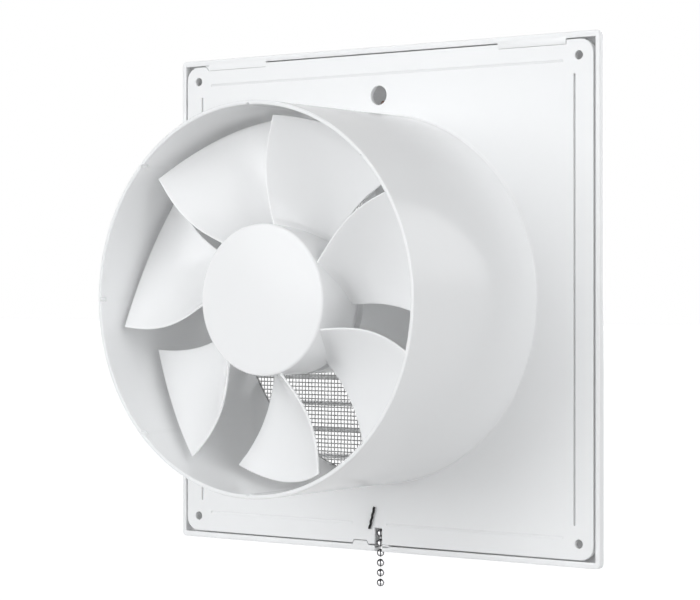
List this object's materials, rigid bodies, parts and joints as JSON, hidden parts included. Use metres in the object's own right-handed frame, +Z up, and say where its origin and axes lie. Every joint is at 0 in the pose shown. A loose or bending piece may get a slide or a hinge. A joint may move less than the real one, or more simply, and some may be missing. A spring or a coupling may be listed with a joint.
{
  "type": "wall exhaust fan",
  "caption": "Round-duct wall exhaust fan with a square base plate, a slatted front cover, an insect screen and a pull-chain switch.",
  "frame": {"origin": "on the impeller's axis, in the plane of the wall, which is the rear face of the base plate", "axes": "+Y along the duct into the wall, -Y towards the room, +Z up"},
  "size_m": [0.2058, 0.1038, 0.2202],
  "materials": {
    "white_plastic": "satin white moulding",
    "impeller_plastic": "glossy white moulding",
    "screen_wire": "grey woven mesh",
    "steel": "bright zinc plate",
    "lamination": "stacked steel sheets",
    "chain": "bright plated",
    "winding": "enamelled copper wire",
    "brass": "plain",
    "bronze": "sintered bronze",
    "cream_plastic": "matt",
    "dark_plastic": "matt",
    "blue_lead": "blue insulation",
    "brown_lead": "brown insulation",
    "black_thread": "matt black"
  },
  "bodies": {
    "housing": {"fan_housing": "white_plastic", "cable_clamp": "white_plastic", "insect_screen": "screen_wire", "front_bearing_bracket": "steel", "rear_bearing_bracket": "steel", "motor_screw_1": "steel", "motor_screw_2": "steel", "motor_screw_3": "steel", "motor_screw_4": "steel", "clamp_screw_1": "steel", "clamp_screw_2": "steel", "switch_pivot_pin": "steel", "stator_core": "lamination", "coil_1": "winding", "coil_2": "winding", "coil_3": "winding", "coil_4": "winding", "terminal_screw_1": "brass", "terminal_screw_2": "brass", "terminal_screw_3": "brass", "contact_stud": "brass", "front_bush": "bronze", "rear_bush": "bronze", "contact_leaf": "bronze", "terminal_block": "cream_plastic", "switch_body": "cream_plastic", "switch_lid": "cream_plastic", "motor_lead_1": "blue_lead", "switch_lead_1": "blue_lead", "motor_lead_2": "brown_lead", "switch_lead_2": "brown_lead", "black_thread": "black_thread"},
    "rotor_group": {"impeller": "impeller_plastic", "hub_insert": "brass", "motor_shaft": "steel", "rotor": "lamination", "front_sleeve": "dark_plastic", "rear_sleeve": "dark_plastic"},
    "chain_group": {"pull_chain": "chain", "chain_coupling": "chain"},
    "lever_group": {"switch_lever": "cream_plastic", "return_spring": "steel"},
    "cover_group": {"front_cover": "white_plastic"}
  },
  "joints": [
    {"name": "impeller_spin", "type": "hinge", "parent": "housing", "child": "rotor_group", "pos_m": [0, 0, 0], "axis": [0, 1, 0], "continuous": true},
    {"name": "chain_pull", "type": "slide", "parent": "housing", "child": "chain_group", "axis": [0, 0, -1], "range_m": [0, 0.005], "stiffness_N_per_m": 400, "springref_m": -0.005},
    {"name": "lever_swing", "type": "hinge", "parent": "housing", "child": "lever_group", "pos_m": [-0.02027, -0.00665, -0.08499], "axis": [0, 1, 0], "range_deg": [0, 14.4]},
    {"name": "cover_pull", "type": "slide", "parent": "housing", "child": "cover_group", "axis": [0, -1, 0], "range_m": [0, 0.04]}
  ],
  "couplings": [
    {"joint": "lever_swing", "follows": "chain_pull", "rad_per_m": 50}
  ]
}
